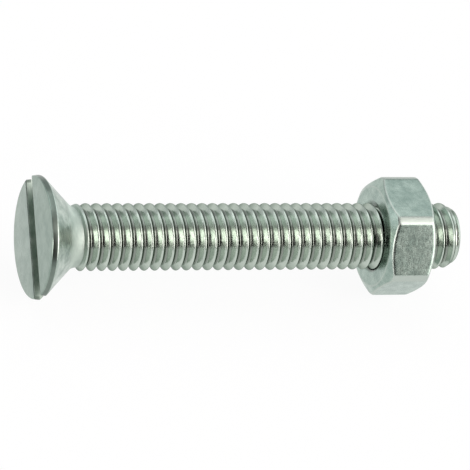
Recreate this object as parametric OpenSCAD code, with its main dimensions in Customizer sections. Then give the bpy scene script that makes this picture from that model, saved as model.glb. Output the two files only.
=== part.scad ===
// Slotted countersunk machine screw with a hexagon nut run on near its tip.
// The screw's axis is +X. X is 0 at the flat face of the head, which ends up flush
// with the surface it is sunk into, and X grows towards the tip. +Z is up, and the
// pair lies on one flat of the nut and the rim of the head.

/* [Thread] */
// Outside diameter of the thread
thread_d = 6; // [5:0.25:8]
// Pitch of the thread, which is also its lead
thread_pitch = 1; // [0.8:0.05:1.25]
// Turns over which the thread rises out of the plain neck
thread_runout = 0.9; // [0.5:0.1:1.5]
// Radial play between the screw's thread and the nut's
thread_play = 0.1; // [0.08:0.01:0.16]

/* [Screw] */
// Length of the screw from the face of the head to the tip
screw_length = 40; // [25:1:60]
// Diameter of the head
head_d = 11; // [10:0.1:13]
// Height of the straight rim round the face of the head
head_rim = 0.55; // [0.2:0.05:1.2]
// Angle of the cone under the head
head_angle = 90; // [80:2:100]
// Radius of the fillet where the cone meets the neck
neck_fillet = 0.5; // [0.2:0.1:1]
// Length of plain neck between the fillet and the thread
neck_plain = 0.3; // [0.1:0.1:3]
// Depth of the chamfer on the tip, measured along the radius
tip_chamfer = 0.55; // [0.4:0.05:1.2]

/* [Driving slot] */
// Width of the slot
slot_w = 1.65; // [1:0.05:2.5]
// Depth of the slot
slot_depth = 1.4; // [0.8:0.1:2]
// Angle of the slot round the axis, from +Y towards +Z
slot_turn = 32.5; // [0:0.5:180]

/* [Nut] */
// Distance between opposite flats of the nut
nut_flats = 9.8; // [9:0.1:13]
// Thickness of the nut
nut_thickness = 4.5; // [3:0.1:8]
// How far each corner of the hexagon is rounded back
nut_corner_trim = 0.2; // [0.05:0.01:0.3]
// Depth of the chamfer round both faces, measured along the radius at a corner
nut_chamfer = 0.95; // [0.5:0.05:1.2]
// Width of the countersink round the nut's thread
nut_sink = 0.2; // [0.1:0.05:0.5]
// Length of screw that stands out past the nut
tip_stickout = 3.3; // [1:0.1:20]

/* [Hidden] */

// Facets round one turn of a thread, and sides of the preview's round shapes
thread_facets = 24;
$fn = 96;

// The thread's section: 60 degree flanks, a flat crest, and a flat root
flank_lean = 30;
crest_w = thread_pitch / 8;
sharp_depth = thread_pitch / 2 / tan(flank_lean);
screw_thread_depth = 17 / 24 * sharp_depth;
nut_thread_depth = 5 / 8 * sharp_depth;

// A rolled thread starts from a blank of about its pitch diameter
thread_r = thread_d / 2;
neck_r = thread_r - 3 / 8 * sharp_depth;

// Stations along the screw
head_r = head_d / 2;
cone_lean = head_angle / 2;
cone_end = head_rim + (head_r - neck_r) / tan(cone_lean);
fillet_end = cone_end + neck_fillet * tan(cone_lean / 2);
neck_end = fillet_end + neck_plain;
tip_r = thread_r - tip_chamfer;
tip_lean = 30;

// A crest stands at this X on the side that faces up and away, which is +Y and +Z alike
crest_x = 4.8;
crest_turn = 45;

// Stations along the nut, whose bearing face looks back at the head
nut_x = screw_length - tip_stickout - nut_thickness;
nut_side_r = nut_flats / 2 / cos(30);
nut_corner_r = nut_side_r - nut_corner_trim;
nut_face_r = nut_corner_r - nut_chamfer;
nut_chamfer_lean = 30;
nut_thread_r = thread_r + thread_play;
nut_sink_r = nut_thread_r + nut_sink;
nut_sink_lean = 60;

// The step by which the thread's core is set in from the neck, and the length by
// which a cutting shape runs past what it cuts
core_step = 0.05;
past = 1;

// Turns its children's axis from +Z to +X, with their X on +Y and their Y on +Z
module along_x() {
    rotate([90, 0, 90]) children();
}

// Points along an arc, from one angle to another
function arc(centre, radius, from, to, steps) = [
    for (k = [0 : steps])
        let (a = from + (to - from) * k / steps)
            centre + radius * [cos(a), sin(a)]
];

// One pitch of a thread's section as [distance along the axis, radius] pairs:
// the foot of a flank, both edges of the crest, and the foot of the other flank
function thread_section(outer_r, depth) =
    let (flank_w = depth * tan(flank_lean))
    [
        [0, outer_r - depth],
        [flank_w, outer_r],
        [flank_w + crest_w, outer_r],
        [2 * flank_w + crest_w, outer_r - depth],
    ];

// A right-handed threaded rod that is whole between two stations, with its crests in
// step with crest_x and crest_turn. Its ends are helical steps, which lie up to two
// pitches outside the stations and are buried or cut off.
// A thread that fades starts as a plain rod of radius plain_r: its section grows out
// of it over the length from fade[0] to fade[1].
module thread_rod(outer_r, depth, from, to, plain_r = 0, fade = []) {
    section = thread_section(outer_r, depth);
    rows = len(section);
    crest_mid = (section[1].x + section[2].x) / 2;
    in_step = crest_x - thread_pitch * crest_turn / 360 - crest_mid;
    start = in_step + thread_pitch * (floor((from - in_step) / thread_pitch) - 1);
    steps = thread_facets * ceil((to - start) / thread_pitch);
    points = [
        for (i = [0 : steps])
            let (turn = i / thread_facets)
            let (station = start + turn * thread_pitch)
            let (grown = len(fade) ? min(1, max(0, (station - fade[0]) / (fade[1] - fade[0]))) : 1)
            for (p = section)
                let (r = plain_r + (p.y - plain_r) * grown)
                    [r * cos(360 * turn), r * sin(360 * turn), station + p.x]
    ];
    start_mid = len(points);
    end_mid = start_mid + 1;
    mids = [
        [0, 0, start + thread_pitch / 2],
        [0, 0, start + (steps / thread_facets + 1 / 2) * thread_pitch],
    ];
    // Each strip joins a row to the next, and the last row to the first one a turn later
    strips = [
        for (j = [0 : rows - 1])
            let (ahead = j < rows - 1 ? 1 : thread_facets * rows + 1 - rows)
            for (i = [0 : steps - 1 - (j < rows - 1 ? 0 : thread_facets)])
                let (a = i * rows + j)
                let (b = a + rows)
                for (face = [[a, a + ahead, b + ahead], [a, b + ahead, b]])
                    face
    ];
    // The open edge at the start, once round the first row and back along the section
    start_edge = [
        for (i = [0 : thread_facets]) i * rows,
        for (j = [rows - 1 : -1 : 1]) j,
    ];
    end_edge = [
        for (i = [steps - thread_facets : steps]) i * rows + rows - 1,
        for (j = [rows - 2 : -1 : 0]) steps * rows + j,
    ];
    start_cap = [
        for (k = [0 : len(start_edge) - 1])
            [start_mid, start_edge[k], start_edge[(k + 1) % len(start_edge)]]
    ];
    end_cap = [
        for (k = [0 : len(end_edge) - 1])
            [end_mid, end_edge[(k + 1) % len(end_edge)], end_edge[k]]
    ];
    polyhedron(concat(points, mids), concat(strips, start_cap, end_cap));
}

// The head and the plain neck, turned as one profile
module head_and_neck() {
    fillet_mid = [neck_r + neck_fillet, fillet_end];
    rotate_extrude()
        polygon(concat(
            [[0, 0], [head_r, 0], [head_r, head_rim]],
            arc(fillet_mid, neck_fillet, 180 + cone_lean, 180, 4),
            [[neck_r, neck_end], [0, neck_end]]
        ));
}

// The slot, sawn right across the head
module driving_slot() {
    rotate([0, 0, slot_turn])
        translate([-head_r - past, -slot_w / 2, -past])
            cube([head_d + 2 * past, slot_w, slot_depth + past]);
}

// The space past the tip and round its chamfer
module tip_cut() {
    clear_r = thread_r + past;
    chamfer_start = screw_length - (clear_r - tip_r) / tan(tip_lean);
    behind_tip = screw_length + 3 * thread_pitch;
    rotate_extrude()
        polygon([
            [0, screw_length],
            [tip_r, screw_length],
            [clear_r, chamfer_start],
            [clear_r + past, chamfer_start],
            [clear_r + past, behind_tip],
            [0, behind_tip],
        ]);
}

// The rolled thread, which rises out of the end of the neck
module screw_thread() {
    buried_end = neck_end - thread_pitch / 4;
    core_r = neck_r - core_step;
    fade = [neck_end, neck_end + thread_runout * thread_pitch];
    difference() {
        thread_rod(thread_r, screw_thread_depth, buried_end, screw_length, core_r, fade);
        tip_cut();
    }
}

module screw() {
    color([0.72, 0.74, 0.70])
        along_x() {
            difference() {
                head_and_neck();
                driving_slot();
            }
            screw_thread();
        }
}

// The hexagon with its corners rounded back and both faces chamfered
module nut_blank() {
    chamfer_rise = nut_chamfer * tan(nut_chamfer_lean);
    intersection() {
        cylinder(r = nut_side_r, h = nut_thickness, $fn = 6);
        rotate_extrude()
            polygon([
                [0, 0],
                [nut_face_r, 0],
                [nut_corner_r, chamfer_rise],
                [nut_corner_r, nut_thickness - chamfer_rise],
                [nut_face_r, nut_thickness],
                [0, nut_thickness],
            ]);
    }
}

// A cone that opens the nut's thread towards the face at 0
module nut_sink_cut() {
    mouth_r = nut_sink_r + past * tan(nut_sink_lean);
    depth = mouth_r / tan(nut_sink_lean);
    translate([0, 0, -past])
        cylinder(r1 = mouth_r, r2 = 0, h = depth);
}

// The nut's thread is cut in step with the screw's, wherever the nut stands
module hex_nut() {
    color([0.66, 0.68, 0.64])
        along_x()
            difference() {
                translate([0, 0, nut_x])
                    difference() {
                        nut_blank();
                        nut_sink_cut();
                        translate([0, 0, nut_thickness]) mirror([0, 0, 1]) nut_sink_cut();
                    }
                thread_rod(nut_thread_r, nut_thread_depth, nut_x, nut_x + nut_thickness);
            }
}

screw();
hex_nut();
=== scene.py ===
# %% [markdown]
# # A countersunk screw and its hexagon nut
#
# This lesson dresses a plain CAD model of a slotted countersunk screw, 40 mm long with
# an M6 thread, and of the nut on it. The CAD model has the main sizes right, but its
# thread has flat crests and 24 facets a turn, its edges are sharp and it has no finish.
# Here both pieces get the rounded rolled thread, the broken edges and the metal of the
# real ones.
#
# The screw lies along X, with the flat face of its head at X = 0 and its tip at 40 mm.

# %% Load the frame
import math

import bmesh
import bpy
from mathutils import Matrix, Vector


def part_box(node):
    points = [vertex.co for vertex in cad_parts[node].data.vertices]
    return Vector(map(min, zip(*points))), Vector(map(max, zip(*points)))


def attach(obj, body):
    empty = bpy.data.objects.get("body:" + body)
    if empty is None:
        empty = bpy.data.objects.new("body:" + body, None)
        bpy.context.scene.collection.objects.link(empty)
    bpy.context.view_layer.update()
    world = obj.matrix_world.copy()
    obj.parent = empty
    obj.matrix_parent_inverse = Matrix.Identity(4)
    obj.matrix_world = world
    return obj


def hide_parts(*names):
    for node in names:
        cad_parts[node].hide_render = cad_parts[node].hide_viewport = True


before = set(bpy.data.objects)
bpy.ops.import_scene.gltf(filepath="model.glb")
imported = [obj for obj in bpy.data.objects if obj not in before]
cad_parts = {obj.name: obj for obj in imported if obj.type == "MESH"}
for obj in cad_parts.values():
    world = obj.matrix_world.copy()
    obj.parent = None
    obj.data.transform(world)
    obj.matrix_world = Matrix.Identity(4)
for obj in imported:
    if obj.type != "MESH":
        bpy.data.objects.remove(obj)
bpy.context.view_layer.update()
screw_low, screw_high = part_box("screw")
nut_low, nut_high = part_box("hex_nut")
print("screw box", [round(c * 1000, 2) for c in (*screw_low, *screw_high)], "mm")
print("nut box", [round(c * 1000, 2) for c in (*nut_low, *nut_high)], "mm")

# %% [markdown]
# ## Sizes
#
# Blender works in metres and a screw is measured in millimetres, so every size is
# written in millimetres times MM. What the CAD boxes give is taken from them. The rest
# is the standard's: a 60 degree thread whose sharp triangle is 0.866 pitches high, and a
# 90 degree cone, which is as long as it is high.

# %% Sizes of the screw and the nut
MM = 0.001
PITCH = 1.0 * MM
THREAD_R = 3.0 * MM
FLANK_LEAN = math.radians(30)
SHARP_DEPTH = PITCH / 2 / math.tan(FLANK_LEAN)
ROOT_R = THREAD_R - 17 / 24 * SHARP_DEPTH
NECK_R = THREAD_R - 3 / 8 * SHARP_DEPTH
LENGTH = screw_high.x
HEAD_R = screw_high.z
RIM = 0.55 * MM
CONE_LEAN = math.radians(45)
CONE_END = RIM + HEAD_R - NECK_R

# The CAD neck ends where a small fillet and a short plain length have passed. The real
# fillet is larger, and the thread rises out of it.
CAD_FILLET, CAD_PLAIN = 0.5 * MM, 0.3 * MM
NECK_END = CONE_END + CAD_FILLET * math.tan(CONE_LEAN / 2) + CAD_PLAIN
NECK_FILLET = 1.4 * MM
FILLET_END = CONE_END + NECK_FILLET * math.tan(CONE_LEAN / 2)
RUN_START, RUN_END = NECK_END - 0.5 * MM, NECK_END + 0.25 * MM
TIP_DEPTH, TIP_LEAN = 0.55 * MM, math.radians(30)
TIP_R = THREAD_R - TIP_DEPTH
TIP_CHAMFER = TIP_DEPTH / math.tan(TIP_LEAN)

# A CAD crest passes X = 4.8 mm on the side that faces +Y and +Z alike, which is an eighth
# of a turn from +Y, so it passes +Y an eighth of a pitch sooner. The photographed crests
# stand 0.07 mm further on.
CREST_AT_Y = 4.87 * MM - PITCH / 8

NUT_START, NUT_END = nut_low.x, nut_high.x
NUT_SIDE_R = nut_high.z / math.cos(math.radians(30))
NUT_TRIM, NUT_CHAMFER, NUT_SINK = 0.2 * MM, 0.95 * MM, 0.2 * MM
NUT_CHAMFER_LEAN, NUT_SINK_LEAN = math.radians(30), math.radians(60)
NUT_CORNER_R = NUT_SIDE_R - NUT_TRIM
NUT_FACE_R = NUT_CORNER_R - NUT_CHAMFER
THREAD_PLAY = 0.1 * MM
NUT_THREAD_R = THREAD_R + THREAD_PLAY
NUT_BORE_R = NUT_THREAD_R - 5 / 8 * SHARP_DEPTH
NUT_SINK_R = NUT_THREAD_R + NUT_SINK
print(f"radii: root {ROOT_R / MM:.3f}, neck {NECK_R / MM:.3f}, nut {NUT_CORNER_R / MM:.3f} mm")

# %% [markdown]
# ## Tools of the trade
#
# A lathe turns most of a screw. Its counterpart here starts from a filled circle, and
# for each next station along the axis extrudes the face forward and scales it to the
# new radius. What comes out is closed, with one flat face at either end and no pole.
# Solids are joined and cut with Boolean modifiers, whose Manifold solver is quick and
# keeps what was closed closed. Helpers for selecting, placing and measuring come first.

# %% Selecting and editing
AXIS = Vector((1, 0, 0))
ROUND = 128


def only(obj):
    """Leaves this object alone selected and active."""
    if bpy.context.mode != "OBJECT":
        bpy.ops.object.mode_set(mode="OBJECT")
    bpy.ops.object.select_all(action="DESELECT")
    obj.select_set(True)
    bpy.context.view_layer.objects.active = obj


def pick(obj, kind, wanted):
    """In edit mode, selects the vertices, edges or faces for which wanted says yes."""
    only(obj)
    bpy.ops.object.mode_set(mode="EDIT")
    bpy.ops.mesh.select_mode(type=kind)
    bpy.ops.mesh.select_all(action="DESELECT")
    drawn = bmesh.from_edit_mesh(obj.data)
    group = {"VERT": drawn.verts, "EDGE": drawn.edges, "FACE": drawn.faces}[kind]
    for part in group:
        if wanted(part):
            part.select_set(True)
    drawn.select_flush_mode()
    bmesh.update_edit_mesh(obj.data)


def place(obj):
    """Moves the object's place and turn into its mesh, as a CAD node has them."""
    only(obj)
    bpy.ops.object.transform_apply(location=True, rotation=True, scale=True)


def report(obj):
    """Prints what a piece has come to."""
    triangles = sum(len(p.vertices) - 2 for p in obj.data.polygons)
    drawn = bmesh.new()
    drawn.from_mesh(obj.data)
    open_edges = sum(1 for e in drawn.edges if not e.is_manifold)
    volume = drawn.calc_volume(signed=True) / MM ** 3
    drawn.free()
    print(f"{obj.name}: {triangles} triangles, {open_edges} open edges, {volume:.1f} mm3")


# %% Turning and joining
def lathe(name, stations, sides=ROUND):
    """A closed turned solid through (x, radius) stations, from a filled circle."""
    x, r = stations[0]
    bpy.ops.object.select_all(action="DESELECT")
    bpy.ops.mesh.primitive_circle_add(
        vertices=sides, radius=r, fill_type="NGON",
        location=(x, 0, 0), rotation=(0, math.pi / 2, 0))
    turned = bpy.context.object
    turned.name = name
    place(turned)
    bpy.ops.object.mode_set(mode="EDIT")
    bpy.ops.mesh.select_mode(type="FACE")
    bpy.ops.mesh.select_all(action="SELECT")
    for new_x, new_r in stations[1:]:
        bpy.ops.mesh.extrude_region_move(
            TRANSFORM_OT_translate={"value": (new_x - x, 0, 0)})
        bpy.ops.transform.resize(
            value=(1, new_r / r, new_r / r), center_override=(new_x, 0, 0))
        x, r = new_x, new_r
    bpy.ops.mesh.select_all(action="SELECT")
    bpy.ops.mesh.normals_make_consistent(inside=False)
    bpy.ops.object.mode_set(mode="OBJECT")
    return turned


def combine(piece, tool, operation):
    """Joins, cuts or keeps what both share, and uses the tool up."""
    only(piece)
    step = piece.modifiers.new(operation.lower(), "BOOLEAN")
    step.operation = operation
    step.object = tool
    step.solver = "MANIFOLD"
    bpy.ops.object.modifier_apply(modifier=step.name)
    bpy.data.objects.remove(tool, do_unlink=True)


# %% [markdown]
# ## The rolled thread
#
# The real screw's thread isn't cut. The blank rolls between two grooved dies, and the
# metal that the dies press out of the grooves flows up into the crests. So both crest
# and groove are round. Seen from the side the surface is one section a pitch long: up
# a 60 degree flank, over the crest, down the next flank and round the groove.
#
# That section is drawn once, by extruding a single corner from point to point. A Screw
# modifier then sweeps it along the helix. A picture of a thread wrapped round a plain
# cylinder would be lighter, but its outline would be straight, and the outline is what
# the eye checks first.

# %% The section of a thread
def arc(mid_x, mid_r, radius, start, end, steps):
    """Points round an arc in the section, where 0 degrees points away from the axis."""
    turns = [math.radians(start + (end - start) * k / steps) for k in range(steps + 1)]
    return [(mid_x + radius * math.sin(t), mid_r + radius * math.cos(t)) for t in turns]


def rolled_section(crest_r, root_r, flank_r):
    """One pitch from groove to groove. At radius flank_r, crest and groove are equally
    wide, and both roundings touch the flanks."""
    half = PITCH / 4 * math.cos(FLANK_LEAN)
    lean = math.sin(FLANK_LEAN)
    # Each rounding is a circle that touches both flanks and the crest's top, or the
    # groove's bottom
    crest_mid = (half + flank_r * lean - crest_r) / (lean - 1)
    crest_round = crest_r - crest_mid
    root_mid = (half - flank_r * lean + root_r) / (1 - lean)
    root_round = root_mid - root_r
    # A flank that leans 30 degrees meets its roundings 60 degrees round from their tops
    left = arc(-PITCH / 2, root_mid, -root_round, 0, -60, 4)
    crest = arc(0, crest_mid, crest_round, -60, 60, 9)
    right = arc(PITCH / 2, root_mid, -root_round, 60, 0, 4)
    print(f"crest rounding {crest_round / MM:.3f}, groove rounding {root_round / MM:.3f} mm")
    return left + crest + right


# The dies leave the groove a little shallower than the standard's sharpest
GROOVE_R = ROOT_R + 0.07 * MM
FLANK_R = NECK_R + 0.005 * MM
screw_section = rolled_section(THREAD_R, GROOVE_R, FLANK_R)
print([(round(x / MM, 3), round(r / MM, 3)) for x, r in screw_section])


# %% A threaded rod
def trace(name, points):
    """An open line: a plane merged to one corner, which is extruded from point to point."""
    bpy.ops.object.select_all(action="DESELECT")
    bpy.ops.mesh.primitive_plane_add(size=MM)
    line = bpy.context.object
    line.name = name
    bpy.ops.object.mode_set(mode="EDIT")
    bpy.ops.mesh.select_mode(type="VERT")
    bpy.ops.mesh.select_all(action="SELECT")
    bpy.ops.mesh.merge(type="CENTER")
    bpy.ops.transform.translate(value=(points[0][0], points[0][1], 0))
    for here, there in zip(points, points[1:]):
        bpy.ops.mesh.extrude_region_move(TRANSFORM_OT_translate={
            "value": (there[0] - here[0], there[1] - here[1], 0)})
    bpy.ops.object.mode_set(mode="OBJECT")
    return line


def threaded_rod(name, section, start, end, steps=96):
    """A right-handed rod whose thread is whole from start to end."""
    # The ends of a swept thread are steps a turn long, so it starts and ends outside
    first = math.floor((start - CREST_AT_Y) / PITCH) - 1
    turns = math.ceil((end - start) / PITCH) + 3
    shift = CREST_AT_Y + first * PITCH
    rod = trace(name, [(x + shift, r) for x, r in section])
    only(rod)
    sweep = rod.modifiers.new("helix", "SCREW")
    sweep.axis = "X"
    sweep.angle = 2 * math.pi
    sweep.screw_offset = PITCH
    sweep.iterations = turns
    sweep.steps = sweep.render_steps = steps
    bpy.ops.object.modifier_apply(modifier=sweep.name)
    # Each turn ends where the next begins, so the seams merge
    bpy.ops.object.mode_set(mode="EDIT")
    bpy.ops.mesh.select_mode(type="VERT")
    bpy.ops.mesh.select_all(action="SELECT")
    bpy.ops.mesh.remove_doubles(threshold=0.002 * MM)
    # Both open ends close as a fan: their edge is extruded and merged at its centre
    middle = (start + end) / 2
    for side in (-1, 1):
        pick(rod, "EDGE", lambda e: e.is_boundary and (e.verts[0].co.x - middle) * side > 0)
        bpy.ops.mesh.extrude_edges_move()
        bpy.ops.mesh.merge(type="CENTER")
    bpy.ops.mesh.select_all(action="SELECT")
    bpy.ops.mesh.normals_make_consistent(inside=False)
    bpy.ops.object.mode_set(mode="OBJECT")
    return rod


thread = threaded_rod(
    "screw_visual", screw_section, NECK_END - 1.5 * PITCH, LENGTH + 0.5 * PITCH)
report(thread)
crests = [v.co.x / MM for v in thread.data.vertices
          if abs(v.co.y) < 0.001 * MM and v.co.z > 0.9995 * THREAD_R]
print("crests straight up at", [round(x, 3) for x in crests[:3]], "mm")

# %% [markdown]
# ## Where the thread starts and ends
#
# At the neck the dies stop biting, and within a turn the crests sink into the fillet
# under the head while the groove rises to meet it. At the tip the blank had a chamfer
# before it was rolled, so the last crests are lower. Both could be drawn into the helix,
# point by point. One turned envelope is simpler: what the threaded rod and the envelope
# share is kept. The head, its fillet and a short cone inside the first grooves are turned
# as one piece and joined to it.

# %% Crests that rise from the neck and fall at the tip
# Along the thread the envelope clears the crests, and its last stations break the tip's
# edge
envelope = lathe("envelope", [
    (RUN_START - 0.5 * MM, NECK_R - 0.10 * MM),
    (RUN_START, NECK_R - 0.06 * MM),
    ((RUN_START + RUN_END) / 2, NECK_R + 0.19 * MM),
    (RUN_END, THREAD_R + 0.01 * MM),
    (LENGTH - TIP_CHAMFER - 0.02 * MM, THREAD_R + 0.01 * MM),
    (LENGTH - 0.07 * MM, TIP_R + 0.04 * MM),
    (LENGTH - 0.02 * MM, TIP_R),
    (LENGTH, TIP_R - 0.06 * MM),
])
combine(thread, envelope, "INTERSECT")
report(thread)

# %% The head and the neck
def head_outline():
    """Stations from the face of the head to inside the thread's first grooves."""
    face_round, rim_round, draft = 0.12 * MM, 0.18 * MM, 0.04 * MM
    face_edge = [
        (face_round * (1 - math.cos(a)), HEAD_R - draft - face_round * (1 - math.sin(a)))
        for a in map(math.radians, (0, 15, 30, 45, 60, 75, 84))]
    rim_x = RIM - rim_round * math.tan(CONE_LEAN / 2)
    rim_edge = [
        (rim_x + rim_round * math.sin(a), HEAD_R - rim_round * (1 - math.cos(a)))
        for a in map(math.radians, (-6, 9, 24, 36, 45))]
    fillet = [
        (FILLET_END - NECK_FILLET * math.sin(a),
         NECK_R + NECK_FILLET - NECK_FILLET * math.cos(a))
        for a in map(math.radians, (45, 36, 27, 18, 9, 0))]
    inside_grooves = [
        (FILLET_END + 0.2 * MM, (NECK_R + ROOT_R) / 2),
        (FILLET_END + 0.45 * MM, ROOT_R - 0.02 * MM),
        (FILLET_END + 1.5 * MM, ROOT_R - 0.3 * MM),
    ]
    return face_edge + rim_edge + fillet + inside_grooves


head = lathe("head", head_outline())
report(head)
combine(thread, head, "UNION")
report(thread)

# %% [markdown]
# ## The slot
#
# A saw cuts the slot right across the head after heading. Its floor is flat, and the
# lips it leaves are broken by tumbling, so they catch the light as a thin line. Both
# could be bevelled on the head, among the many small faces of the rim. Here the saw is
# shaped instead: a cube with the corners at its floor broken and its sides spread just
# before they leave the face, which cuts the slot with its lips in one go.

# %% Sawing the slot
SLOT_W, SLOT_DEPTH = 1.65 * MM, 1.4 * MM
SLOT_LIP, SLOT_CORNER = 0.07 * MM, 0.12 * MM
SLOT_TURN = math.radians(32.5)

bpy.ops.object.select_all(action="DESELECT")
bpy.ops.mesh.primitive_cube_add(size=1, location=(0, 0, 0))
saw = bpy.context.object
saw.name = "saw"
saw.scale = (2 * SLOT_DEPTH, 3 * HEAD_R, SLOT_W)
place(saw)
bpy.ops.object.mode_set(mode="EDIT")
bpy.ops.mesh.select_all(action="SELECT")
bpy.ops.mesh.bisect(plane_co=(SLOT_LIP, 0, 0), plane_no=(1, 0, 0))
pick(saw, "VERT", lambda v: v.co.x < 0)
spread = 1 + 2 * (SLOT_DEPTH + SLOT_LIP) / SLOT_W
bpy.ops.transform.resize(value=(1, 1, spread), center_override=(0, 0, 0))
pick(saw, "EDGE", lambda e: all(v.co.x > 0.9 * SLOT_DEPTH for v in e.verts)
     and abs((e.verts[0].co - e.verts[1].co).normalized().y) > 0.9)
bpy.ops.mesh.bevel(offset=SLOT_CORNER, segments=3, clamp_overlap=False)
bpy.ops.object.mode_set(mode="OBJECT")
saw.rotation_euler = (SLOT_TURN, 0, 0)
place(saw)
combine(thread, saw, "DIFFERENCE")
report(thread)

# %% [markdown]
# ## The nut
#
# A nut is punched from bar in stages: a hexagon whose corners the die doesn't quite fill,
# a 30 degree chamfer round both faces, a hole with a countersink at each end, and a
# tapped thread. The hexagon is a six-sided cylinder. What it shares with a turned solid
# is kept: the solid's side leaves a narrow strip on each corner, and its two cones draw
# the curved line that a chamfer leaves on each flat. Bevelling the corners instead would
# round them too softly.

# %% The blank of the nut
bpy.ops.object.select_all(action="DESELECT")
bpy.ops.mesh.primitive_cylinder_add(
    vertices=6, radius=NUT_SIDE_R, depth=NUT_END - NUT_START,
    location=((NUT_START + NUT_END) / 2, 0, 0), rotation=(0, math.pi / 2, 0))
nut = bpy.context.object
nut.name = "hex_nut_visual"
place(nut)
rise = (NUT_CORNER_R - NUT_FACE_R) * math.tan(NUT_CHAMFER_LEAN)
chamfers = lathe("chamfers", [
    (NUT_START, NUT_FACE_R),
    (NUT_START + rise, NUT_CORNER_R),
    (NUT_END - rise, NUT_CORNER_R),
    (NUT_END, NUT_FACE_R),
], sides=144)
combine(nut, chamfers, "INTERSECT")
report(nut)

# %% [markdown]
# ### Tumbling the nut
#
# Nuts are tumbled together in a drum, which wears all edges round alike, the curved ones
# where a chamfer crosses a flat too. A Bevel would have to meet itself at every corner
# there. A Remesh into small even squares and a Smooth that lets each of them settle
# between its neighbours do the same as the drum: the flats stay flat, the edges turn
# round, and the rounding catches the light as a pale outline.

# %% Rounding all edges alike
only(nut)
even = nut.modifiers.new("even squares", "REMESH")
even.mode = "VOXEL"
even.voxel_size = 0.075 * MM
bpy.ops.object.modifier_apply(modifier=even.name)
report(nut)
worn = nut.modifiers.new("tumbled", "SMOOTH")
worn.factor = 0.5
worn.iterations = 14
bpy.ops.object.modifier_apply(modifier=worn.name)
report(nut)
print("nut from", [round(c / MM, 3) for c in nut.bound_box[0]],
      "to", [round(c / MM, 3) for c in nut.bound_box[6]])

# %% [markdown]
# ### Tapping the nut
#
# A countersink is turned into both faces, and a tap then cuts the thread. The tap is a
# threaded rod like the screw's, with a section of its own: it is 0.1 mm larger all round,
# which is the play that lets the nut run freely, and its crests are narrower. It starts
# from the same crest, so the nut's thread is in mesh with the screw's.

# %% The nut's countersinks and thread
def tapped_section():
    """The space that a tap clears: narrow crests, and broad flats at the nut's bore."""
    flank = (NUT_THREAD_R - NUT_BORE_R) * math.tan(FLANK_LEAN)
    half_crest = PITCH / 16
    foot = half_crest + flank
    falling = [
        (half_crest * 0.6, NUT_THREAD_R),
        (half_crest + 0.02 * MM, NUT_THREAD_R - 0.035 * MM),
        (foot - 0.015 * MM, NUT_BORE_R + 0.026 * MM),
        (foot + 0.03 * MM, NUT_BORE_R),
        (PITCH / 2, NUT_BORE_R),
    ]
    return [(-x, r) for x, r in reversed(falling)] + falling


# Each countersink is a cone that starts in the air before its face and ends in the hole
before, end_r = 1.0 * MM, 0.3 * MM
mouth_r = NUT_SINK_R + before * math.tan(NUT_SINK_LEAN)
depth = (mouth_r - end_r) / math.tan(NUT_SINK_LEAN)
for face_x, way in ((NUT_START, 1), (NUT_END, -1)):
    mouth_x = face_x - way * before
    cone = lathe("countersink", [(mouth_x, mouth_r), (mouth_x + way * depth, end_r)], sides=96)
    combine(nut, cone, "DIFFERENCE")
tap = threaded_rod("tap", tapped_section(), NUT_START - PITCH, NUT_END + PITCH, steps=72)
report(tap)
combine(nut, tap, "DIFFERENCE")
report(nut)

# %% [markdown]
# ### Rubbed edges with a painted highlight, and painted shade in the hole
#
# Rubbed edges turn duller than the flats, and they are painted paler: partly their wear,
# partly a painted highlight. The countersinks are painted darker, as painted shade. A
# material can't tell an edge from a flat by itself, so the mesh tells it. Each vertex
# gets a number by how far its surface leans from the nearest plain face or chamfer, and
# another by whether it lies inside a countersink. Painting both by hand would do too, but
# these numbers fit however the nut's sizes change.

# %% Rubbed edges with a painted highlight, and painted shade in the countersinks
def smooth_step(value, low, high):
    """0 up to low, 1 from high on, and an even S between."""
    share = min(1.0, max(0.0, (value - low) / (high - low)))
    return share * share * (3 - 2 * share)


flats = [Vector((0, math.cos(math.radians(a)), math.sin(math.radians(a))))
         for a in range(30, 390, 60)]
rubbed_and_highlit, painted_hole_shade = [], []
for v in nut.data.vertices:
    out = Vector((0, v.co.y, v.co.z))
    chamfer_ways = [
        math.cos(NUT_CHAMFER_LEAN) * way * AXIS + math.sin(NUT_CHAMFER_LEAN) * out.normalized()
        for way in (-1, 1)]
    plain = flats + [AXIS, -AXIS] + chamfer_ways
    lean = math.degrees(math.acos(min(1.0, max(v.normal.dot(way) for way in plain))))
    # An edge is rubbed, and painted with a highlight, fully where it leans 16 degrees or
    # more, outside the countersink
    outside = out.length > NUT_SINK_R + 0.1 * MM
    rubbed_and_highlit.append(smooth_step(lean, 5, 16) if outside else 0.0)
    # Painted shade inside the countersinks
    painted_hole_shade.append(1 - smooth_step(out.length, NUT_SINK_R - 0.20 * MM, NUT_SINK_R - 0.04 * MM))
for name, values in (("rubbed_and_highlit", rubbed_and_highlit), ("painted_hole_shade", painted_hole_shade)):
    layer = nut.data.attributes.new(name, "FLOAT", "POINT")
    layer.data.foreach_set("value", values)
    print(name, "on", sum(1 for value in values if value > 0.5), "of", len(values), "vertices")

# %% [markdown]
# ## Finishing both meshes
#
# Rolled, turned and tumbled surfaces are round, but a mesh has small flat faces. Smooth
# shading hides them. It stops at edges sharper than 28 degrees, so that the thread's cut
# ends and the slot stay crisp. Each piece then rides on the body that it moves with, and
# stands in for the CAD node of the same piece.

# %% Smooth shading
SHARPEST = math.radians(28)
for piece in (thread, nut):
    only(piece)
    bpy.ops.object.shade_smooth_by_angle(angle=SHARPEST)
    sharp = [e for e in piece.data.edges if e.use_edge_sharp]
    print(piece.name, "has", len(sharp), "sharp edges")

# %% Riding on the frame
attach(thread, "screw")
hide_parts("screw")
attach(nut, "nut")
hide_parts("hex_nut")
print(thread.name, "rides on screw,", nut.name, "on nut")

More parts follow.
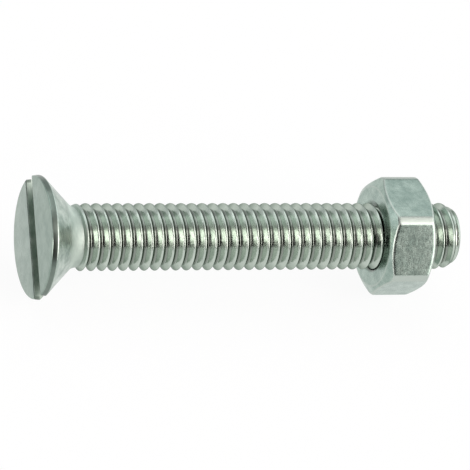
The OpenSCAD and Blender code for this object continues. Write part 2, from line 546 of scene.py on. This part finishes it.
# %% [markdown]
# ## The camera
#
# The photograph was taken from above and in front, a little from the head's end, with a
# long lens that shows the screw nearly without perspective. The angles, the distance and
# the lens were fitted together, until the model's outline lay on the photographed one.
# The focal length is in pixels of the photograph, and Blender's lens takes millimetres.

# %% Camera
IMAGE = 470
YAW, RISE, ROLL = math.radians(21.05), math.radians(45.0), math.radians(-0.19)
DISTANCE = 0.400
FOCAL = 4470.0
SENSOR = 36.0
MIDDLE = Vector((20 * MM, 0, 0))
SHIFT_RIGHT, SHIFT_UP = -0.90 * MM, 0.144 * MM

# Square to the screw's axis, near points to the camera's side and upward is square to it
near = Vector((0, -math.cos(RISE), math.sin(RISE)))
upward = Vector((0, math.sin(RISE), math.cos(RISE)))
look = math.sin(YAW) * AXIS - math.cos(YAW) * near
right = math.cos(YAW) * AXIS + math.sin(YAW) * near
across = math.cos(ROLL) * right + math.sin(ROLL) * upward
up = -math.sin(ROLL) * right + math.cos(ROLL) * upward
aim = MIDDLE + SHIFT_RIGHT * right + SHIFT_UP * upward
camera_data = bpy.data.cameras.new("camera")
camera_data.sensor_fit = "HORIZONTAL"
camera_data.sensor_width = SENSOR
camera_data.lens = FOCAL / IMAGE * SENSOR
camera_data.clip_start = 0.01
camera_data.clip_end = 10
camera = bpy.data.objects.new("camera", camera_data)
bpy.context.scene.collection.objects.link(camera)
turn = Matrix((across, up, -look)).transposed()
camera.matrix_world = Matrix.Translation(aim - DISTANCE * look) @ turn.to_4x4()
bpy.context.scene.camera = camera
print("camera at", [round(c, 4) for c in camera.location], "lens", round(camera_data.lens, 1))

# %% [markdown]
# ## Metal
#
# Metal tints what it mirrors, so its base colour is how much of each colour it sends
# back, and all the rest is roughness and bumps. The photograph's steel is a grey with a
# slight green cast. Colours are written as the hex values that a colour picker gives and
# are turned to linear light, which the shader reckons in.
#
# One helper adds a node. A Mix node has sockets for every kind of value: numbers go into
# 2 and 3 and come out at 0, colours go into 6 and 7 and come out at 2. Masks, which say
# where a finish lies, are windows: 1 between two values, 0 outside, with soft edges.

# %% Colours and nodes
def linear(hex_colour):
    """An sRGB hex value as the linear colour that a shader takes."""
    parts = [int(hex_colour[k:k + 2], 16) / 255 for k in (1, 3, 5)]
    light = [c / 12.92 if c <= 0.04045 else ((c + 0.055) / 1.055) ** 2.4 for c in parts]
    return light + [1.0]


def add(tree, kind, inputs=(), **settings):
    """A node with its settings, whose inputs are values or other nodes' outputs."""
    made = tree.nodes.new(kind)
    for name, value in settings.items():
        setattr(made, name, value)
    for key, value in dict(inputs).items():
        if isinstance(value, bpy.types.NodeSocket):
            tree.links.new(value, made.inputs[key])
        else:
            made.inputs[key].default_value = value
    return made


def window(tree, value, low, high, soft):
    """1 between low and high, 0 outside, with soft edges."""
    rising = add(tree, "ShaderNodeMapRange", {
        "Value": value, "From Min": low - soft / 2, "From Max": low + soft / 2,
    }, interpolation_type="SMOOTHSTEP")
    falling = add(tree, "ShaderNodeMapRange", {
        "Value": value, "From Min": high - soft / 2, "From Max": high + soft / 2,
        "To Min": 1.0, "To Max": 0.0,
    }, interpolation_type="SMOOTHSTEP")
    return add(tree, "ShaderNodeMath", {
        0: rising.outputs["Result"], 1: falling.outputs["Result"],
    }, operation="MULTIPLY").outputs["Value"]


def new_material(name):
    """An empty metal: its tree, its shader, and the object's own coordinates in mm."""
    made = bpy.data.materials.new(name)
    made.use_nodes = True
    tree = made.node_tree
    shader = tree.nodes["Principled BSDF"]
    shader.inputs["Metallic"].default_value = 1.0
    place_in_mm = add(tree, "ShaderNodeVectorMath", {
        0: add(tree, "ShaderNodeTexCoord").outputs["Object"], "Scale": 1 / MM,
    }, operation="SCALE")
    return made, tree, shader, place_in_mm.outputs["Vector"]


print("the steel's grey", [round(c, 3) for c in linear("#c7d1c7")[:3]])

# %% [markdown]
# ### Stainless steel, cold headed and thread rolled
#
# The dies burnish the thread as they roll it, so crests and flanks mirror sharply, and
# the small waves that the metal keeps make each turn catch the light a little
# differently. The head and the neck are as the header left them: duller, and softly
# mottled where the wire's drawn skin was pressed flat. One material with masks is used
# rather than one for each zone, because the zones run into each other with no edge.

# %% Where each finish lies on the screw
screw_steel, tree, shader, mm = new_material("stainless steel, thread rolled")
along = add(tree, "ShaderNodeSeparateXYZ", {"Vector": mm}).outputs["X"]
off_axis = add(tree, "ShaderNodeVectorMath", {0: mm, 1: (0.0, 1.0, 1.0)}, operation="MULTIPLY")
away = add(tree, "ShaderNodeVectorMath", {
    0: off_axis.outputs["Vector"]}, operation="LENGTH").outputs["Value"]

# Burnished from the first whole crest at 4.1 mm, and as the header left it before that
burnished = add(tree, "ShaderNodeMapRange", {
    "Value": along, "From Min": 3.6, "From Max": 4.2}).outputs["Result"]

# Painted shade at the bottom of the grooves, up to about 2.56 mm from the axis
groove_shade = add(tree, "ShaderNodeMath", {
    0: window(tree, away, 0.0, 2.515, 0.09), 1: window(tree, along, 4.3, 39.4, 0.6),
}, operation="MULTIPLY").outputs["Value"]

# The face of the head, its rim, and the neck
face = window(tree, along, -1.0, 0.07, 0.08)
rim = add(tree, "ShaderNodeMath", {
    0: window(tree, along, 0.08, 0.50, 0.06), 1: window(tree, away, 5.2, 9.0, 0.1),
}, operation="MULTIPLY").outputs["Value"]
neck = window(tree, along, 2.5, 3.9, 1.0)

# The slot's walls and floor, up to the middle of its lips
HALF_SLOT = (SLOT_W + SLOT_LIP) / 2 / MM
over_slot = add(tree, "ShaderNodeVectorMath", {
    0: mm, 1: (0.0, -math.sin(SLOT_TURN), math.cos(SLOT_TURN)),
}, operation="DOT_PRODUCT").outputs["Value"]
sawn = add(tree, "ShaderNodeMath", {
    0: window(tree, over_slot, -HALF_SLOT, HALF_SLOT, 0.04),
    1: window(tree, along, 0.05, 1.6, 0.06),
}, operation="MULTIPLY").outputs["Value"]
print(len(tree.nodes), "nodes for the masks, slot", round(2 * HALF_SLOT, 2), "mm")

# %% The screw's colours
# Mottling about 1.3 mm across
mottle = add(tree, "ShaderNodeTexNoise", {
    "Vector": mm, "Scale": 0.8, "Detail": 4.0, "Roughness": 0.6})
patches = add(tree, "ShaderNodeMapRange", {
    "Value": mottle.outputs["Fac"], "From Min": 0.35, "From Max": 0.65}).outputs["Result"]
header_grey = add(tree, "ShaderNodeMix", {
    "Factor": patches, 6: linear("#92a298"), 7: linear("#c4d0c6")}, data_type="RGBA")
rolled_grey = add(tree, "ShaderNodeMix", {
    "Factor": patches, 6: linear("#b9c4ba"), 7: linear("#c7d1c7")}, data_type="RGBA")
steel = add(tree, "ShaderNodeMix", {
    "Factor": burnished, 6: header_grey.outputs[2], 7: rolled_grey.outputs[2],
}, data_type="RGBA").outputs[2]

# The grooves are painted darker, as painted shade. The face of the head is painted a little
# darker than the cone, as painted shade for the duller light it mirrors, the rim darker
# still, as a painted dark reflection, and round the neck it is paler.
for mask, share, colour in (
        (groove_shade, 1.0, "#8a9189"),
        (face, 0.7, "#82958a"),
        (rim, 0.8, "#66726a"),
        (neck, 0.6, "#c9d5cd")):
    weight = add(tree, "ShaderNodeMath", {0: mask, 1: share}, operation="MULTIPLY")
    steel = add(tree, "ShaderNodeMix", {
        "Factor": weight.outputs["Value"], 6: steel, 7: linear(colour),
    }, data_type="RGBA").outputs[2]
tree.links.new(steel, shader.inputs["Base Color"])

# A painted shade dims what the thread mirrors at a flat angle, so that its upper and lower
# edges stand out from the white behind them
edges = add(tree, "ShaderNodeMix", {
    "Factor": burnished, 6: linear("#ffffff"), 7: linear("#9aa29c")}, data_type="RGBA")
tree.links.new(edges.outputs[2], shader.inputs["Specular Tint"])
print(len(tree.nodes), "nodes with the colours")

# %% The screw's roughness and bumps
# Waves of 0.5 mm, and a grain that is really 0.02 mm fine and is drawn at 0.15 mm so that
# it shows
waves = add(tree, "ShaderNodeTexNoise", {
    "Vector": mm, "Scale": 2.0, "Detail": 1.0, "Roughness": 0.5}).outputs["Fac"]
grain = add(tree, "ShaderNodeTexNoise", {
    "Vector": mm, "Scale": 7.0, "Detail": 2.0, "Roughness": 0.5}).outputs["Fac"]

# Burnished steel is smoothest, the head a little duller, the neck, the rim and the sawn
# slot dull
least = add(tree, "ShaderNodeMapRange", {"Value": burnished, "To Min": 0.17, "To Max": 0.15})
rough = add(tree, "ShaderNodeMath", {
    0: grain, 1: 0.12, 2: least.outputs["Result"]}, operation="MULTIPLY_ADD").outputs["Value"]
for mask, roughness in ((neck, 0.62), (rim, 0.3), (sawn, 0.45)):
    rough = add(tree, "ShaderNodeMix", {"Factor": mask, 2: rough, 3: roughness}).outputs[0]
tree.links.new(rough, shader.inputs["Roughness"])

wavy = add(tree, "ShaderNodeBump", {
    "Height": waves, "Strength": 0.5, "Distance": 0.02 * MM})
relief = add(tree, "ShaderNodeBump", {
    "Height": grain, "Strength": 0.3, "Distance": 0.015 * MM,
    "Normal": wavy.outputs["Normal"]})
tree.links.new(relief.outputs["Normal"], shader.inputs["Normal"])
thread.data.materials.clear()
thread.data.materials.append(screw_steel)
print(screw_steel.name, "has", len(tree.nodes), "nodes")

# %% [markdown]
# ### Stainless steel, cold formed and tumbled
#
# Tumbling covers the nut's flats in small shallow dents, so they mirror softly and look
# mottled. The edges are rubbed duller and painted paler, partly their wear and partly a
# painted highlight, and the hole is painted darker, as painted shade. Both masks come from
# the mesh, which was given them above.

# %% The nut's colours
nut_steel, tree, shader, mm = new_material("stainless steel, cold formed")
# Mottling about 0.9 mm across
mottle = add(tree, "ShaderNodeTexNoise", {
    "Vector": mm, "Scale": 1.1, "Detail": 4.0, "Roughness": 0.6})
patches = add(tree, "ShaderNodeMapRange", {
    "Value": mottle.outputs["Fac"], "From Min": 0.35, "From Max": 0.65}).outputs["Result"]
rubbed_highlit_edges = add(tree, "ShaderNodeAttribute", attribute_name="rubbed_and_highlit").outputs["Fac"]
hole_shade = add(tree, "ShaderNodeAttribute", attribute_name="painted_hole_shade").outputs["Fac"]
steel = linear("#8fa299")
# Paler edges, partly wear and partly a painted highlight, and painted shade in the hole
for mask, colour in ((patches, "#acbdb3"), (rubbed_highlit_edges, "#bac4bc"), (hole_shade, "#6b726b")):
    steel = add(tree, "ShaderNodeMix", {
        "Factor": mask, 6: steel, 7: linear(colour)}, data_type="RGBA").outputs[2]
tree.links.new(steel, shader.inputs["Base Color"])

# %% The nut's roughness and dents
# Dents of 0.35 mm
dents = add(tree, "ShaderNodeTexNoise", {
    "Vector": mm, "Scale": 2.9, "Detail": 3.0, "Roughness": 0.6}).outputs["Fac"]
flats_rough = add(tree, "ShaderNodeMath", {
    0: dents, 1: 0.16, 2: 0.18}, operation="MULTIPLY_ADD").outputs["Value"]
rough = add(tree, "ShaderNodeMix", {"Factor": rubbed_highlit_edges, 2: flats_rough, 3: 0.36})
tree.links.new(rough.outputs[0], shader.inputs["Roughness"])
relief = add(tree, "ShaderNodeBump", {
    "Height": dents, "Strength": 0.35, "Distance": 0.02 * MM})
tree.links.new(relief.outputs["Normal"], shader.inputs["Normal"])
nut.data.materials.clear()
nut.data.materials.append(nut_steel)
print(nut_steel.name, "has", len(tree.nodes), "nodes")

# %% [markdown]
# ## Light
#
# A polished rod is a mirror bent round its axis: each height on it shows one direction
# of the room, and each lean of its flanks another. A lamp would show in it as a hard
# spot, so the light is drawn as a whole room instead, in the world's own nodes. Two
# numbers give a direction there: the angle round the screw's axis, where 90 is overhead
# and the camera looks from 135, and X, the share that points towards the tip.
#
# The room is an even white. A few things with soft edges stand in it, each in its own
# window of angle and X: a soft box above the camera, a lamp to the right of it, bright
# windows at both ends, duller walls and ceiling, and the dark place where the camera and
# the photographer are, which gives each groove its black spot.

# %% The room
world = bpy.data.worlds.new("studio")
bpy.context.scene.world = world
world.use_nodes = True
tree = world.node_tree
sky = tree.nodes["Background"]
direction = add(tree, "ShaderNodeSeparateXYZ", {
    "Vector": add(tree, "ShaderNodeTexCoord").outputs["Generated"]})
around = add(tree, "ShaderNodeMath", {
    0: direction.outputs["Z"], 1: direction.outputs["Y"]}, operation="ARCTAN2")
degrees = add(tree, "ShaderNodeMath", {
    0: around.outputs["Value"]}, operation="DEGREES").outputs["Value"]
towards_tip = direction.outputs["X"]
print(world.name, "reads", towards_tip.name, "and the angle round it")

# %% What stands in the room
WALLS = 1.45
SOFT_DEGREES, SOFT_SHARE = 8, 0.14
THINGS = [
    # what it is, its level, its angles, and its X; later ones stand before earlier ones
    ("low wall behind", 0.65, (-200, 44), (-0.84, 0.66)),
    ("dark end on the left", 0.0, (63, 124), (-2, -0.55)),
    ("strip of ceiling", 0.5, (90, 111), (-0.56, 0.26)),
    ("left of the soft box", 0.75, (109, 136), (-0.64, 0.24)),
    ("ceiling on the right", 0.6, (56, 106), (0.26, 0.60)),
    ("soft box", 1.9, (110, 128), (0.22, 0.36)),
    ("wall on the right", 1.5, (108, 200), (0.64, 2)),
    ("window on the right", 3.3, (137, 200), (0.76, 2)),
    ("place of the camera", 0.0, (128, 200), (-0.70, 0.72)),
    ("window on the left", 4.8, (142, 200), (-2, -0.72)),
    ("foot of the lamp", 5.0, (154, 177), (0.50, 0.72)),
    ("lamp", 5.2, (109, 154), (0.39, 0.68)),
]
level = WALLS
for name, strength, angles, share in THINGS:
    outline = add(tree, "ShaderNodeMath", {
        0: window(tree, degrees, *angles, SOFT_DEGREES),
        1: window(tree, towards_tip, *share, SOFT_SHARE),
    }, operation="MULTIPLY")
    level = add(tree, "ShaderNodeMix", {
        "Factor": outline.outputs["Value"], 2: level, 3: strength}, label=name).outputs[0]
print(len(THINGS), "things in a room of level", WALLS)

# %% What the camera sees of the room
# The camera itself sees plain white, and only the metal sees the things in the room
seen = add(tree, "ShaderNodeLightPath")
straight = add(tree, "ShaderNodeMath", {
    0: seen.outputs["Is Camera Ray"], 1: seen.outputs["Is Transmission Ray"],
}, operation="MAXIMUM").outputs["Value"]
shown = add(tree, "ShaderNodeMix", {"Factor": straight, 2: level, 3: 1.0})
tree.links.new(shown.outputs[0], sky.inputs["Strength"])

# Cool daylight from behind, warmer lamps in front
front_half = add(tree, "ShaderNodeMapRange", {
    "Value": degrees, "From Min": 80.0, "From Max": 110.0})
tint = add(tree, "ShaderNodeMix", {
    "Factor": front_half.outputs["Result"], 6: linear("#fafdff"), 7: linear("#fff8f6"),
}, data_type="RGBA")
pale = add(tree, "ShaderNodeMix", {
    "Factor": straight, 6: tint.outputs[2], 7: linear("#ffffff")}, data_type="RGBA")
tree.links.new(pale.outputs[2], sky.inputs["Color"])
print(len(tree.nodes), "nodes in the room")

# %% [markdown]
# ## The floor
#
# White paper. To the camera it is nearly as bright as white gets and holds a faint
# shadow, and the metal mirrors that same white. For the light that it throws back up it
# is only a pale grey, so the underside isn't lit too much.

# %% The sheet
bpy.ops.object.select_all(action="DESELECT")
bpy.ops.mesh.primitive_plane_add(size=4, location=(0, 0, -HEAD_R))
floor = bpy.context.object
floor.name = "floor"
place(floor)
print("paper at Z", round(-HEAD_R / MM, 2), "mm, where the rim of the head lies")

# %% White paper
LIFT = 0.93
paper = bpy.data.materials.new("white paper")
paper.use_nodes = True
tree = paper.node_tree
tree.nodes.remove(tree.nodes["Principled BSDF"])
seen = add(tree, "ShaderNodeLightPath")
looked_at = add(tree, "ShaderNodeMath", {
    0: seen.outputs["Is Camera Ray"], 1: seen.outputs["Is Transmission Ray"],
}, operation="MAXIMUM").outputs["Value"]
looked_at = add(tree, "ShaderNodeMath", {
    0: looked_at, 1: seen.outputs["Is Glossy Ray"]}, operation="MAXIMUM").outputs["Value"]
tone = add(tree, "ShaderNodeMix", {
    "Factor": looked_at, 6: linear("#d8d8d8"), 7: linear("#f9f9f9")}, data_type="RGBA")
matt = add(tree, "ShaderNodeBsdfDiffuse", {"Color": tone.outputs[2]})
glow = add(tree, "ShaderNodeEmission", {"Color": linear("#ffffff"), "Strength": 1.0})
lift = add(tree, "ShaderNodeMath", {0: looked_at, 1: LIFT}, operation="MULTIPLY")
front = add(tree, "ShaderNodeMixShader", {
    0: lift.outputs["Value"], 1: matt.outputs[0], 2: glow.outputs[0]})
# From below the paper is clear, so that the underside of the part can be looked at
under = add(tree, "ShaderNodeMixShader", {
    0: add(tree, "ShaderNodeNewGeometry").outputs["Backfacing"], 1: front.outputs[0],
    2: add(tree, "ShaderNodeBsdfTransparent").outputs[0]})
tree.links.new(under.outputs[0], tree.nodes["Material Output"].inputs["Surface"])
floor.data.materials.append(paper)
bpy.context.scene.view_settings.view_transform = "Standard"
print(paper.name, "lifted by", LIFT)
